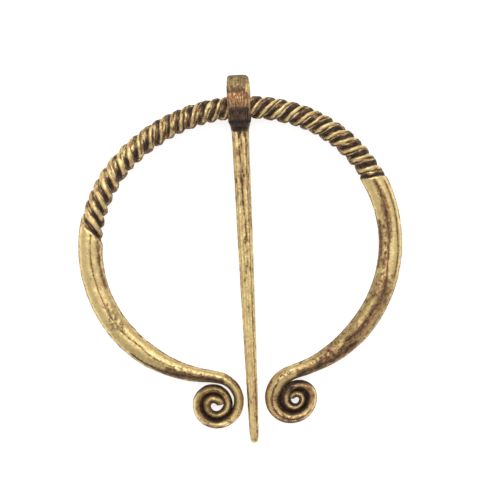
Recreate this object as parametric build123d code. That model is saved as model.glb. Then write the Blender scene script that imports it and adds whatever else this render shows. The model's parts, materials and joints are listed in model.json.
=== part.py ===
import os
from collections import namedtuple
from math import atan, cos, degrees, pi, radians, sin

from build123d import *

# A penannular brooch of the Viking kind: an open hoop of heavy bar, twisted
# over its upper part, plain along both arms and rolled into a flat scroll at
# each end, and a long pin whose flat head is rolled into a loop round the bar.
# It lies on its back as it would on a table. The pin lies along Y, its loop
# towards +Y and its straight back on z = 0. The hoop leans a little: the strap
# of the loop lifts it at the top, and its arms or scrolls rest below.
# Lengths are millimetres and angles are degrees.

# Hoop
hoop_radius = 22.7        # mean radius of the bar's mid-line
arm_width = 3.7           # bar across the arms, seen from the front
arm_height = 3.3          # bar through the arms, front to back
arm_groove = 0.07         # share of the bar that the arms' centre groove takes
crown_left = 44.0         # turn of the flatter crown, from the loop to the left
crown_right = 19.5        # and from the loop to the right

# Twisted stretch
crest_radius = 1.92       # from the bar's mid-line to the top of a ridge
twist_groove = 0.22       # share of the crest radius that a groove is deep
twist_sharp = 2.2         # how narrow a groove is beside its ridge
ridge_spacing = 2.02      # from one ridge to the next along the mid-line
twist_left = 39.5         # turn of the left side that is twisted, past the crown
twist_right = 44.5        # and of the right side
guide_reach = 4.0         # how far the line that leads the twist stands off
section_spacing = 4.2     # about how far apart the sections of a limb lie

# Scrolls
scroll_radius = 3.7       # first bend of a scroll
scroll_width = 1.65       # rolled bar seen from the front, where the roll starts
scroll_height = 2.45      # rolled bar from front to back

# Pin
pin_length = 52.2         # from the bar's mid-line in the loop to the tip
shaft_width = 2.72        # just below the loop
shaft_height = 2.3
strap_width = 3.65        # the rolled strap, seen from the front
strap_thickness = 0.85
loop_slack = 2.05         # how much longer than deep the loop's eye is
loop_clearance = 0.25     # between the bar's ridges and the strap
seam_width = 0.16         # groove where the strap's end meets the shaft's head
seam_depth = 0.18
seam_angle = 45.0         # how far down the loop's front the seam lies
edge_round = 0.2          # softened edges of the strap

# Shares of hoop_radius that bend the crown and the two sides
crown_bend = 1.14
left_bend = 0.88
right_bend = 0.917

# Worked out from the sizes above
crown_radius = crown_bend * hoop_radius
left_radius = left_bend * hoop_radius
right_radius = right_bend * hoop_radius
eye_radius = crest_radius + loop_clearance
loop_radius = eye_radius + strap_thickness
bar_height_at_loop = loop_radius
twist_sizes = (2 * crest_radius, 2 * crest_radius, twist_groove, twist_sharp)

up = Vector(0, 0, 1)
bar_line = Vector(0, 0, bar_height_at_loop)

# A plain limb is a chain of bends. A row is one bend and the section at its
# end. Turn is positive where the bar bends on round the hoop and negative where
# it rolls back into its scroll. Radius is a share of the hoop's or the scroll's
# radius, and width and height are shares of the arm's or the scroll's bar.
# Groove is a share of arm_groove, and sharp is how narrow that groove is.
Bend = namedtuple("Bend", "turn radius_of radius bar_of width height groove sharp")
hoop, roll = "hoop", "roll"

left_limb = [
    Bend(20, hoop, left_bend, hoop, 0.99, 0.99, 0.9, 4),
    Bend(27, hoop, left_bend, hoop, 0.99, 0.99, 1.0, 6),
    Bend(14, hoop, left_bend, hoop, 0.92, 0.95, 0.8, 6),
    Bend(15, hoop, left_bend, hoop, 0.72, 0.88, 0.5, 6),
    Bend(12, hoop, 0.85, hoop, 0.56, 0.80, 0.0, 6),
    Bend(-5, hoop, 1.10, roll, 1.10, 1.05, 0.0, 6),
    Bend(-76, roll, 1.03, roll, 0.90, 1.00, 0.0, 6),
    Bend(-90, roll, 0.94, roll, 0.87, 0.98, 0.0, 6),
    Bend(-90, roll, 0.82, roll, 0.86, 0.96, 0.0, 6),
    Bend(-90, roll, 0.67, roll, 0.89, 0.93, 0.0, 6),
    Bend(-90, roll, 0.62, roll, 0.80, 0.90, 0.0, 6),
    Bend(-90, roll, 0.49, roll, 0.67, 0.86, 0.0, 6),
    Bend(-90, roll, 0.41, roll, 0.70, 0.82, 0.0, 6),
    Bend(-90, roll, 0.27, roll, 0.66, 0.78, 0.0, 6),
    Bend(-70, roll, 0.32, roll, 0.46, 0.72, 0.0, 6),
]

right_limb = [
    Bend(21, hoop, right_bend, hoop, 0.99, 0.99, 0.9, 4),
    Bend(48, hoop, right_bend, hoop, 0.97, 0.97, 1.0, 6),
    Bend(13, hoop, right_bend, hoop, 0.84, 0.92, 0.8, 6),
    Bend(11, hoop, right_bend, hoop, 0.67, 0.86, 0.5, 6),
    Bend(7, hoop, 0.87, roll, 1.38, 1.12, 0.0, 6),
    Bend(-4.5, hoop, 1.12, roll, 1.36, 1.08, 0.0, 6),
    Bend(-69.5, roll, 1.10, roll, 1.34, 1.00, 0.0, 6),
    Bend(-90, roll, 0.81, roll, 1.04, 0.98, 0.0, 6),
    Bend(-90, roll, 0.88, roll, 0.90, 0.96, 0.0, 6),
    Bend(-90, roll, 0.49, roll, 0.92, 0.93, 0.0, 6),
    Bend(-90, roll, 0.59, roll, 0.82, 0.90, 0.0, 6),
    Bend(-90, roll, 0.34, roll, 0.64, 0.86, 0.0, 6),
    Bend(-90, roll, 0.33, roll, 0.58, 0.82, 0.0, 6),
    Bend(-90, roll, 0.23, roll, 0.50, 0.78, 0.0, 6),
]

# Sections of the shaft, from the shoulder under the loop to the blunt tip, as
# shares of pin_length, shaft_width and shaft_height
Station = namedtuple("Station", "along width height")
shoulder = Station(0.041, strap_width / shaft_width, 1.80)
shaft_stations = [
    shoulder,
    Station(0.070, 1.01, 1.04),
    Station(0.390, 0.90, 0.96),
    Station(0.690, 0.735, 0.80),
    Station(0.820, 0.65, 0.72),
    Station(0.960, 0.54, 0.60),
    Station(0.985, 0.47, 0.54),
    Station(1.000, 0.26, 0.36),
]

# Corners of the shaft's section: a flat back, two sides and a faceted front, as
# shares of its width from the middle and of its height
shaft_corners = [(-0.36, 0), (0.36, 0), (0.5, 0.42), (0.24, 1), (-0.24, 1), (-0.5, 0.42)]


class Walker:
    """Steps from the loop along a chain of tangent arcs in the hoop's plane."""

    def __init__(self, x, y, heading, side):
        self.x, self.y, self.heading, self.side = x, y, heading, side
        self.arcs = []

    def bend(self, turn, radius):
        sweep = turn * self.side
        inward = 90 if sweep > 0 else -90
        middle_x = self.x + radius * cos(radians(self.heading + inward))
        middle_y = self.y + radius * sin(radians(self.heading + inward))
        start = self.heading - inward
        self.arcs.append(CenterArc((middle_x, middle_y, 0), radius, start, sweep))
        self.heading += sweep
        self.x = middle_x + radius * cos(radians(start + sweep))
        self.y = middle_y + radius * sin(radians(start + sweep))

    def plane(self):
        """Section plane, its x axis pointing out of the hoop and its y axis up."""
        along = Vector(cos(radians(self.heading)), sin(radians(self.heading)), 0)
        outward = along.cross(up) * self.side
        return Plane(origin=(self.x, self.y, 0), x_dir=outward, z_dir=outward.cross(up))


def bar_section(plane, width, height, groove, sharp, points=12):
    """Closed outline of the bar: two round lobes with a groove between them."""
    outline = []
    for step in range(points):
        angle = 2 * pi * step / points
        reach = 1 - groove * abs(sin(angle)) ** sharp
        outline.append((width / 2 * reach * cos(angle), height / 2 * reach * sin(angle)))
    return Wire([plane * Edge.make_spline([Vector(*corner) for corner in outline], periodic=True)])


def walk_to_twist_end(side, crown_turn, side_turn, side_radius):
    """Walker at one end of the twisted stretch, heading into the plain arm."""
    walker = Walker(0, 0, 180 if side > 0 else 0, side)
    walker.bend(crown_turn, crown_radius)
    walker.bend(side_turn, side_radius)
    walker.arcs.clear()
    return walker


def twisted_stretch():
    """Bar swept over the crown while its two lobes wind round the mid-line."""
    right_end = walk_to_twist_end(-1, crown_right, twist_right, right_radius)
    over = Walker(right_end.x, right_end.y, right_end.heading + 180, 1)
    section = bar_section(over.plane(), *twist_sizes)
    over.bend(twist_right, right_radius)
    over.bend(crown_right + crown_left, crown_radius)
    over.bend(twist_left, left_radius)
    path = Wire(over.arcs)

    ridges = round(path.length / ridge_spacing)
    steps = 4 * ridges
    lead = []
    for step in range(steps + 1):
        distance = path.length * step / steps
        point = path.position_at(distance, position_mode=PositionMode.LENGTH)
        along = path.tangent_at(distance, position_mode=PositionMode.LENGTH)
        turned = pi * ridges * step / steps
        reach = along.cross(up) * cos(turned) + up * sin(turned)
        lead.append(point + reach * guide_reach)
    return Solid.sweep(Face(section), path, mode=Wire([Edge.make_spline(lead)]))


def end_outline(crown, walker):
    """Outline that the twist ends with, which a plain arm starts from."""
    ends = crown.faces().filter_by(GeomType.PLANE)
    here = Vector(walker.x, walker.y, 0)
    return ends.sort_by(lambda face: (face.center() - here).length)[0].outer_wire()


def limb(walker, start_outline, rows):
    """Plain arm and its scroll, with the place and half height of each section."""
    marker = Walker(walker.x, walker.y, walker.heading, walker.side)
    sections = [start_outline]
    halves = []
    before = twist_sizes
    for row in rows:
        radius = row.radius * (hoop_radius if row.radius_of == hoop else scroll_radius)
        width = row.width * (arm_width if row.bar_of == hoop else scroll_width)
        height = row.height * (arm_height if row.bar_of == hoop else scroll_height)
        after = (width, height, row.groove * arm_groove, row.sharp)
        walker.bend(row.turn, radius)
        steps = max(1, round(radians(abs(row.turn)) * radius / section_spacing))
        for step in range(1, steps + 1):
            marker.bend(row.turn / steps, radius)
            sizes = [first + (last - first) * step / steps for first, last in zip(before, after)]
            sections.append(bar_section(marker.plane(), *sizes))
        before = after
        halves.append((walker.y, height / 2))
    return Solid.sweep_multi(sections, Wire(walker.arcs)), halves


def make_hoop():
    """Whole hoop, leaning from the loop's strap down to where it first rests."""
    left_start = walk_to_twist_end(1, crown_left, twist_left, left_radius)
    right_start = walk_to_twist_end(-1, crown_right, twist_right, right_radius)
    crown = twisted_stretch()
    left_arm, left_halves = limb(left_start, end_outline(crown, left_start), left_limb)
    right_arm, right_halves = limb(right_start, end_outline(crown, right_start), right_limb)
    flat = crown.fuse(left_arm, right_arm)
    slopes = [(bar_height_at_loop - half) / -y for y, half in left_halves + right_halves]
    return flat.rotate(Axis.X, degrees(atan(min(slopes)))).moved(Location(bar_line))


def loop_slot(radius):
    """Slot round the bar's line, seen from the side and run through the strap."""
    slot = Pos(loop_slack / 2, bar_height_at_loop) * SlotCenterToCenter(loop_slack, 2 * radius)
    return extrude(Plane.YZ * slot, strap_width / 2, both=True)


def shaft_section(station):
    plane = Plane(origin=(0, -station.along * pin_length, 0), x_dir=(1, 0, 0), z_dir=(0, -1, 0))
    width = station.width * shaft_width
    height = station.height * shaft_height
    corners = [plane.from_local_coords(Vector(x * width, z * height)) for x, z in shaft_corners]
    return Wire.make_polygon(corners, close=True)


def make_pin():
    """Shaft and rolled loop in one, with the flat back that it lies on."""
    head_length = shoulder.along * pin_length
    head = Pos(0, -head_length / 2, shaft_height / 2) * Box(strap_width, head_length, shaft_height)
    strap = loop_slot(loop_radius) + head
    sides = [edge for edge in strap.edges() if abs(edge.center().X) > 0.499 * strap_width]
    strap = fillet(sides, edge_round)
    shaft = Solid.make_loft([shaft_section(station) for station in shaft_stations], ruled=True)
    seam = Rot(X=seam_angle) * Pos(0, 0, loop_radius) * Box(2 * strap_width, seam_width, 2 * seam_depth)
    return strap + shaft - loop_slot(eye_radius) - Pos(*bar_line) * seam


pieces = {"hoop": make_hoop(), "pin": make_pin()}

# The origin is the middle of the floor under the whole brooch
box = Compound(list(pieces.values())).bounding_box()
to_origin = Location((-box.center().X, -box.center().Y, 0))
os.makedirs("parts", exist_ok=True)
for name, shape in pieces.items():
    export_step(shape.moved(to_origin), f"parts/{name}.step")
swing_line = bar_line + to_origin.position
print("swing line through", [round(value, 3) for value in swing_line])
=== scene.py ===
import json
from functools import reduce
from math import atan, ceil, cos, pi, radians, sin
from types import SimpleNamespace

import bmesh
import bpy
import numpy as np
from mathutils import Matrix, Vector, noise


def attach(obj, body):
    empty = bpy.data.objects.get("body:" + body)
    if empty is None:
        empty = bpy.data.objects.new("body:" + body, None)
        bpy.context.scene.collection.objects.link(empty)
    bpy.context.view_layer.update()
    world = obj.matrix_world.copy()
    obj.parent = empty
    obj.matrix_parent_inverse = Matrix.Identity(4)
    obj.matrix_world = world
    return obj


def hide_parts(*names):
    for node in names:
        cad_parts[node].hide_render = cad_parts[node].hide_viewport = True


# A penannular brooch: an open hoop of brass with a twisted crown and a scroll at
# each end, and a pin that swings on it
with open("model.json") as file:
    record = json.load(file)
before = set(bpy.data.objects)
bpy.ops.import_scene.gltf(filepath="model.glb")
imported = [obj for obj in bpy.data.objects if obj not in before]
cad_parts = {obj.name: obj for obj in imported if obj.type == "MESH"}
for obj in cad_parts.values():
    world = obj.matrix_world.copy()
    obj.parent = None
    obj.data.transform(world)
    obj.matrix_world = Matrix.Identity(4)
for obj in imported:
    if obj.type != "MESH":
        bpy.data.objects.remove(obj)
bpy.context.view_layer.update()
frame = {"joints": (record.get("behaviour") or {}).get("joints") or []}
millimetre = 0.001
swingPoint = np.array(frame["joints"][0]["pos_m"]) / millimetre   # the bar's mid-line inside the pin's loop
print("frame loaded, the pin swings round", swingPoint)

# The brooch is turned a little in the photo, so the camera is rolled the other
# way. Lengths are millimetres.
photo = {
    "turn": 2.65,                     # degrees
    "across": 74.4,                   # of the object's plane that the frame is wide
    "middle": (0.006, 3.043, 3.0),    # the point in the frame's middle
    "distance": 640.0,                # from there up to the camera
    "sensor": 36.0,
    "hoopMiddle": (-0.683, -21.88),   # what photo angles turn round, from the loop's bar line
}

camera = bpy.data.objects.new("camera", bpy.data.cameras.new("camera"))
bpy.context.scene.collection.objects.link(camera)
camera.data.sensor_width = photo["sensor"]
camera.data.lens = photo["sensor"] * photo["distance"] / photo["across"]
camera.location = (Vector(photo["middle"]) + Vector((0, 0, photo["distance"]))) * millimetre
camera.rotation_euler = (0, 0, radians(-photo["turn"]))
bpy.context.scene.camera = camera
print("camera set")


# Soft noise from -1 to 1 at each of many points, in lumps of the given size
def lumps(points, size, shift=0.0):
    flat = points.reshape(-1, 3) / size + shift
    return np.array([noise.noise(Vector(point)) for point in flat]).reshape(points.shape[:-1])


# From 0 at the low value to 1 at the high one, starting and ending softly
def ease(values, low, high):
    share = np.clip((values - low) / (high - low), 0, 1)
    return share * share * (3 - 2 * share)


# 1 between the two middle values, easing to 0 at the outer ones
def between(values, start, full, fading, gone):
    return ease(values, start, full) * (1 - ease(values, fading, gone))


def blend(first, second, share):
    return first + (second - first) * share


# The largest of several fields, point by point
def largest(*fields):
    return reduce(np.maximum, fields)


# The columns of a table after its first, read between its rows at the given places
def readTable(rows, places):
    table = np.array(sorted(rows), dtype=float)
    return [np.interp(places, table[:, 0], table[:, column]) for column in range(1, table.shape[1])]


# Strips of grime and creases along a bar. Each has a path of rows with place
# along the bar, place across it and half width, then darkness, patchiness, depth.
def drawStrips(strips, along, across, patches, fadeOver, spread=1.0):
    halo, haloSpread = 0.65, 5   # a softer stain round each dark core
    patchLoss = 0.75             # how much of a patchy strip is missing between its patches
    grimeAndShade, dent = np.zeros_like(across), np.zeros_like(across)
    for path, dark, patchy, depth in strips:
        places, halfWidths = readTable(path, along)
        first, last = min(row[0] for row in path), max(row[0] for row in path)
        off = ((across - places) / (halfWidths * spread)) ** 2
        strip = np.maximum(np.exp(-off), halo * np.exp(-off / haloSpread))
        strip = strip * between(along, first - fadeOver, first + fadeOver, last - fadeOver, last + fadeOver)
        patch = 1 - patchLoss * patchy * (1 - ease(patches, 0.25, 0.75))
        grimeAndShade = np.maximum(grimeAndShade, strip * dark * patch)
        dent = np.maximum(dent, strip ** 2 * depth)
    return grimeAndShade, dent


# A new object from points in millimetres
def newPiece(name, points, faces):
    mesh = bpy.data.meshes.new(name)
    mesh.from_pydata([tuple(point) for point in points * millimetre], [], faces)
    piece = bpy.data.objects.new(name, mesh)
    bpy.context.scene.collection.objects.link(piece)
    return piece


# Quads from each ring of points to the next
def quadsBetween(count, around, closed=False):
    quads = []
    for ring in range(count if closed else count - 1):
        here, there = ring * around, (ring + 1) % count * around
        for step in range(around):
            onward = (step + 1) % around
            quads.append((here + step, here + onward, there + onward, there + step))
    return quads


# Rings of values as one list, and after them the middle of each end
def listed(rings):
    return np.vstack([rings.reshape(-1, rings.shape[-1]), rings[0].mean(0), rings[-1].mean(0)])


# A tube of quads from rings of points, closed at both ends by fans
def tubeMesh(name, rings):
    count, around = rings.shape[:2]
    faces = quadsBetween(count, around)
    first, last = count * around, count * around + 1
    for step in range(around):
        onward = (step + 1) % around
        faces.append((onward, step, first))
        faces.append(((count - 1) * around + step, (count - 1) * around + onward, last))
    return newPiece(name, listed(rings), faces)


sideLay = 3.0   # how far the grain of front and back lies from the bar's mid-line in the noise


# What the brass reads at each point: "finish" holds grime with painted shade
# (lessened where a highlight is painted), dullness, redness and how streaky it is,
# and "lay" the place along and across the metal's own grain
def setFinish(mesh, tints, grain):
    mesh.polygons.foreach_set("use_smooth", [True] * len(mesh.polygons))
    finish = mesh.attributes.new("finish", "FLOAT_COLOR", "POINT")
    finish.data.foreach_set("color", np.clip(tints, 0, 1).astype(np.float32).ravel())
    lay = mesh.attributes.new("lay", "FLOAT_VECTOR", "POINT")
    lay.data.foreach_set("vector", grain.astype(np.float32).ravel())
    mesh.update()


# Hoop. Lengths are millimetres, angles degrees, and shares are of the sizes
# that they stand beside, as in the solid that this piece replaces.
hoopLook = {
    "radius": 22.7, "crownShare": 1.14, "leftShare": 0.88, "rightShare": 0.917,
    "crownLeft": 44.0, "crownRight": 19.5, "twistLeft": 39.5, "twistRight": 44.5,
    "armWidth": 3.7, "armHeight": 3.3, "crest": 1.92,
    "rollRadius": 3.7, "rollWidth": 1.65, "rollHeight": 2.45,
    "crownStep": 0.125, "armStep": 0.18, "scrollStep": 0.165,   # along the bar
    "pointsFront": 50, "pointsBack": 26,
    "barPower": 0.82,               # under 1 makes the plain bar fuller than round
    "roofPower": 1.35, "eavePower": 0.35,   # how round a scroll's roof is at its ridge and at its edges
    "lap": 0.03,                    # how far the turns of a scroll run into each other
    "closedLeft": (84, -520), "closedRight": (158, -620),   # turns between which no daylight shows
    "tipLength": 0.28, "tipBends": (25, 50, 72, 85),

    # The twist. Places across it are shares of a ridge.
    "ridgeStarts": 3,               # ridges that the twist has side by side
    "ridgeSpacing": 2.0,
    "ridgeCrest": 0.21,             # where the table of ridge angles lies in a ridge's profile
    "crestEnd": (0.36, 0.50),       # where a crest gives way to its groove
    "twistFrom": 0.27, "twistTo": 29.83,   # ridges where the plain arms begin
    "twistFade": 0.05, "notchFade": 0.5,
    "notchPlace": 0.97, "notchPower": 0.8,
    "wobbles": ((0.07, 1.5, 31.0), (0.05, 0.6, 37.0)),   # depth, lump size and place in the noise
    "strandLong": 1.3, "strandWide": 0.34, "strandDepth": 0.05,   # fine lines that follow the ridges
    "crestDrop": 0.02, "lastCrestDrop": 0.06,   # how far under the crest radius the metal stays

    # Unevenness, creases and the metal's grain
    "lumpSize": 1.3, "lumpDepth": 0.035,
    "grainSize": 0.42, "grainDepth": 0.020,
    "valleyWidth": 0.55, "valleyDepth": 0.10,   # between the two lobes of an arm
    "stripSpread": 1.45,            # widens every strip on the arms
    "stripFade": 1.2, "stainFade": 12.0,   # degrees over which a strip or a stain ends
    "twistLay": 40.0,               # keeps the twist's grain apart from the arms' in the noise
}

# The bends of each side past the twist: turn, bent round, share, bar, width,
# height, roof, crest. Roof is how far the bar's front rises to a ridge, and
# crest where that ridge lies across the bar.
leftBends = [
    (20, "hoop", 0.88, "arm", 0.99, 0.99, 0.0, 0.0),
    (27, "hoop", 0.88, "arm", 0.99, 0.99, 0.0, 0.0),
    (14, "hoop", 0.88, "arm", 0.92, 0.95, 0.0, 0.0),
    (15, "hoop", 0.88, "arm", 0.72, 0.88, 0.05, 0.0),
    (12, "hoop", 0.85, "arm", 0.56, 0.80, 0.15, 0.0),
    (-5, "hoop", 1.10, "roll", 1.10, 1.05, 0.25, 0.0),
    (-76, "roll", 1.03, "roll", 0.90, 1.00, 0.55, 0.0),
    (-90, "roll", 0.94, "roll", 0.87, 0.98, 0.60, -0.2),
    (-90, "roll", 0.82, "roll", 0.86, 0.96, 0.60, -0.30),
    (-90, "roll", 0.67, "roll", 0.89, 0.93, 0.60, 0.05),
    (-90, "roll", 0.62, "roll", 0.80, 0.90, 0.60, 0.0),
    (-90, "roll", 0.49, "roll", 0.72, 0.86, 0.60, 0.0),
    (-90, "roll", 0.41, "roll", 0.82, 0.82, 0.60, 0.0),
    (-90, "roll", 0.27, "roll", 0.86, 0.78, 0.60, 0.0),
    (-70, "roll", 0.32, "roll", 0.66, 0.72, 0.50, 0.0),
]
rightBends = [
    (21, "hoop", 0.917, "arm", 0.99, 0.99, 0.0, 0.0),
    (48, "hoop", 0.917, "arm", 0.97, 0.97, 0.0, 0.0),
    (13, "hoop", 0.917, "arm", 0.84, 0.92, 0.0, 0.0),
    (11, "hoop", 0.917, "arm", 0.67, 0.86, 0.05, 0.0),
    (7, "hoop", 0.87, "roll", 1.38, 1.12, 0.15, 0.0),
    (-4.5, "hoop", 1.12, "roll", 1.36, 1.08, 0.25, 0.0),
    (-69.5, "roll", 1.10, "roll", 1.34, 1.00, 0.45, -0.1),
    (-90, "roll", 0.81, "roll", 1.04, 0.98, 0.55, -0.2),
    (-90, "roll", 0.88, "roll", 0.90, 0.96, 0.60, -0.3),
    (-90, "roll", 0.49, "roll", 0.92, 0.93, 0.60, 0.0),
    (-90, "roll", 0.59, "roll", 0.82, 0.90, 0.60, 0.0),
    (-90, "roll", 0.34, "roll", 0.66, 0.86, 0.60, 0.0),
    (-90, "roll", 0.33, "roll", 0.66, 0.82, 0.60, 0.0),
    (-90, "roll", 0.23, "roll", 0.66, 0.78, 0.50, 0.0),
    (-60, "roll", 0.26, "roll", 0.58, 0.74, 0.50, 0.0),
]

# Photo angles of each ridge of the twist, near the outer edge of the hoop
# (0.75 of the way across) and near its inner edge (half way across)
ridgeAngles = [
    (21.0, 23.0), (26.0, 28.0), (31.0, 33.0), (36.3, 38.1), (40.5, 42.9), (44.4, 47.9), (48.7, 52.1),
    (53.8, 57.1), (58.4, 61.4), (62.1, 65.8), (67.1, 70.7), (72.4, 76.2), (77.0, 81.6), (82.1, 86.5),
    (87.2, 91.4), (92.5, 96.4), (98.0, 101.3), (102.0, 106.0), (108.0, 111.0), (113.5, 116.3),
    (117.7, 120.6), (122.3, 125.5), (126.5, 130.8), (132.7, 136.6), (137.7, 141.6), (142.8, 146.2),
    (148.9, 152.4), (153.9, 157.4), (158.5, 162.5), (162.6, 167.0), (167.4, 172.1), (172.5, 177.0),
    (177.6, 182.0),
]
ridgeSpots = (0.75, -0.5)

# Across one ridge, clockwise: place, then height and grime where the twist is
# bold, where it is fine and where its ridges are broad
ridgeProfile = [
    (0.00, 0.25, 0.90, 0.35, 0.75, 0.30, 0.80), (0.04, 0.66, 0.45, 0.75, 0.35, 0.72, 0.30),
    (0.09, 0.90, 0.12, 0.93, 0.15, 0.92, 0.08), (0.15, 0.99, 0.00, 1.00, 0.04, 1.00, 0.00),
    (0.20, 1.00, 0.00, 0.97, 0.06, 1.00, 0.00), (0.28, 0.94, 0.04, 0.90, 0.15, 0.97, 0.05),
    (0.35, 0.82, 0.35, 0.82, 0.35, 0.92, 0.12), (0.41, 0.58, 0.95, 0.72, 0.65, 0.87, 0.20),
    (0.48, 0.70, 0.62, 0.88, 0.25, 0.83, 0.28), (0.54, 0.82, 0.28, 0.86, 0.28, 0.76, 0.38),
    (0.60, 0.70, 0.52, 0.68, 0.68, 0.64, 0.60), (0.67, 0.45, 1.00, 0.74, 0.48, 0.46, 0.98),
    (0.76, 0.52, 0.95, 0.72, 0.50, 0.36, 1.00), (0.84, 0.38, 1.00, 0.55, 0.78, 0.30, 1.00),
    (0.92, 0.18, 1.00, 0.30, 0.95, 0.16, 1.00), (0.97, 0.00, 1.00, 0.08, 1.00, 0.02, 1.00),
    (1.00, 0.25, 0.90, 0.35, 0.75, 0.30, 0.80),
]
# Round the bar from its outer edge over the front: angle, depth of the grooves
grooveDepths = [(0, 0.36), (45, 0.46), (90, 0.48), (150, 0.48), (180, 0.50), (270, 0.40), (360, 0.36)]
# and depth of the notches between the ridges at its two edges
notchDepths = [
    (0, 0.50), (30, 0.25), (60, 0.0), (120, 0.0), (150, 0.50), (180, 1.15), (215, 0.7), (330, 0.3),
    (360, 0.50),
]

# Photo angle, how fine and how broad the twist is there, and how dark its
# grooves are at five places across the bar from the inner edge to the outer one
zones = [
    (28, 0.0, 0.0, 1.10, 1.00, 0.95, 0.90, 0.95), (85, 0.05, 0.0, 1.05, 1.00, 0.95, 0.85, 0.90),
    (98, 0.40, 0.0, 1.00, 0.90, 0.75, 0.70, 0.95), (112, 0.85, 0.0, 1.20, 0.85, 0.60, 0.60, 1.10),
    (128, 0.85, 0.1, 1.30, 1.05, 0.60, 0.50, 0.75), (140, 0.60, 0.40, 1.30, 1.25, 0.80, 0.42, 0.50),
    (150, 0.25, 0.75, 1.20, 1.25, 0.85, 0.40, 0.40), (160, 0.0, 1.0, 1.10, 1.15, 0.95, 0.50, 0.40),
    (178, 0.0, 1.0, 1.05, 1.05, 1.00, 0.80, 0.55),
]
zoneSpots = (-0.8, -0.4, 0.0, 0.4, 0.8)

# Creases and grime on the arms: photo angle, millimetres outward from the
# bar's middle, half width. First the lines down the middle of both arms.
leftMiddle = [
    (172, 0.03, 0.09), (185, 0.0, 0.09), (190, -0.11, 0.09), (195, -0.17, 0.07), (200, -0.19, 0.07),
    (205, -0.13, 0.09), (211, -0.10, 0.11), (217, -0.2, 0.10),
]
rightMiddleHigh = [
    (28, -0.12, 0.13), (23, -0.06, 0.16), (20, -0.06, 0.22), (15, -0.18, 0.25), (10, -0.20, 0.24),
    (5, -0.24, 0.22), (2, -0.36, 0.15),
]
rightMiddleLow = [
    (3, -0.40, 0.11), (0, -0.37, 0.10), (-5, -0.26, 0.08), (-10, -0.04, 0.10), (-13, 0.15, 0.15),
]
armStrips = [
    # left arm
    (leftMiddle, 0.52, 0.2, 0.06),
    ([(205, -0.10, 0.12), (211, -0.08, 0.18), (216, -0.12, 0.12)], 0.55, 0.8, 0.0),
    ([(174, -1.18, 0.12), (186, -1.27, 0.12), (192, -1.35, 0.12), (198, -1.50, 0.08)], 0.68, 0.6, 0.02),
    ([(202, -0.60, 0.30), (209, -0.60, 0.36), (216, -0.50, 0.25)], 0.50, 1.0, 0.0),
    ([(207, 0.45, 0.30), (211, 0.40, 0.40), (214, 0.25, 0.25)], 0.50, 1.0, 0.0),
    ([(190, 0.50, 0.30), (198, 0.55, 0.30)], 0.25, 1.0, 0.0),
    # below it, the dark line that crosses from the arm's outer edge towards its middle
    ([(223, 1.33, 0.06), (228, 1.30, 0.07), (232, 1.17, 0.09), (236, 1.08, 0.12), (240, 0.88, 0.24),
      (244, 0.62, 0.28), (248, 0.48, 0.22), (252, 0.38, 0.24), (258, 0.42, 0.22), (263, 0.5, 0.2)],
     0.98, 0.25, 0.04),
    ([(237, 0.40, 0.22), (240, 0.30, 0.32), (244, 0.22, 0.30), (249, 0.10, 0.20)], 0.72, 0.7, 0.0),
    ([(217, -0.2, 0.10), (221, -0.38, 0.12), (225, -0.45, 0.12), (228, -0.22, 0.12), (233, -0.12, 0.12),
      (241, -0.12, 0.14)], 0.48, 0.4, 0.03),
    # right arm: its outer line, then its middle and what lies beside that
    ([(26, 1.25, 0.06), (15, 1.22, 0.06), (7, 1.09, 0.07), (-2, 1.18, 0.06), (-12, 1.18, 0.07)],
     0.62, 0.35, 0.05),
    (rightMiddleHigh, 0.74, 0.3, 0.12),
    (rightMiddleLow, 0.68, 0.3, 0.07),
    ([(-11, 0.12, 0.18), (-15, 0.24, 0.28), (-20, 0.24, 0.32), (-26, 0.08, 0.26), (-34, 0.08, 0.26)],
     0.90, 0.5, 0.09),
    ([(12, -1.48, 0.14), (8, -1.52, 0.18), (4, -1.60, 0.20), (-2, -1.58, 0.12), (-9, -1.6, 0.10)],
     0.72, 0.3, 0.0),
    ([(11, -1.0, 0.35), (0, -0.9, 0.40), (-10, -0.7, 0.45), (-21, -0.8, 0.45)], 0.45, 1.0, 0.0),
    ([(-9, 0.9, 0.45), (-15, 0.8, 0.55), (-21, 0.9, 0.5)], 0.45, 1.0, 0.0),
    ([(-33, 0.10, 0.24), (-36, 0.0, 0.36), (-39, -0.2, 0.36), (-42, -0.25, 0.24)], 0.88, 0.4, 0.0),
    ([(-38, 0.95, 0.20), (-42, 0.90, 0.42), (-46, 0.80, 0.38), (-50, 0.75, 0.46), (-54, 0.58, 0.38),
      (-60, 0.55, 0.34), (-66, 0.62, 0.36)], 0.98, 0.45, 0.03),
    ([(-38, 0.20, 0.35), (-46, 0.05, 0.45), (-54, 0.1, 0.40), (-61, -0.1, 0.40)], 0.68, 0.8, 0.0),
    ([(-18, 1.45, 0.30), (-28, 1.35, 0.30), (-40, 1.25, 0.25)], 0.45, 0.7, 0.0),
]

# Photo angle, dullness of the arm's outer and inner side, mottling of its outer
# and inner side
armTones = [
    (176, 0.02, 0.10, 0.15, 0.20), (192, 0.02, 0.12, 0.15, 0.18), (205, 0.06, 0.16, 0.22, 0.30),
    (215, 0.20, 0.20, 0.12, 0.20), (225, 0.36, 0.20, 0.12, 0.08), (245, 0.38, 0.26, 0.14, 0.08),
    (262, 0.32, 0.24, 0.08, 0.14),
    (28, 0.0, 0.0, 0.04, 0.04), (10, 0.0, 0.0, 0.08, 0.08), (-8, 0.10, 0.14, 0.18, 0.26),
    (-16, 0.40, 0.70, 0.35, 0.55), (-30, 0.55, 0.78, 0.35, 0.36), (-45, 0.60, 0.88, 0.35, 0.50),
    (-55, 0.45, 0.70, 0.30, 0.60), (-64, 0.12, 0.20, 0.22, 0.48),
]
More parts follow.
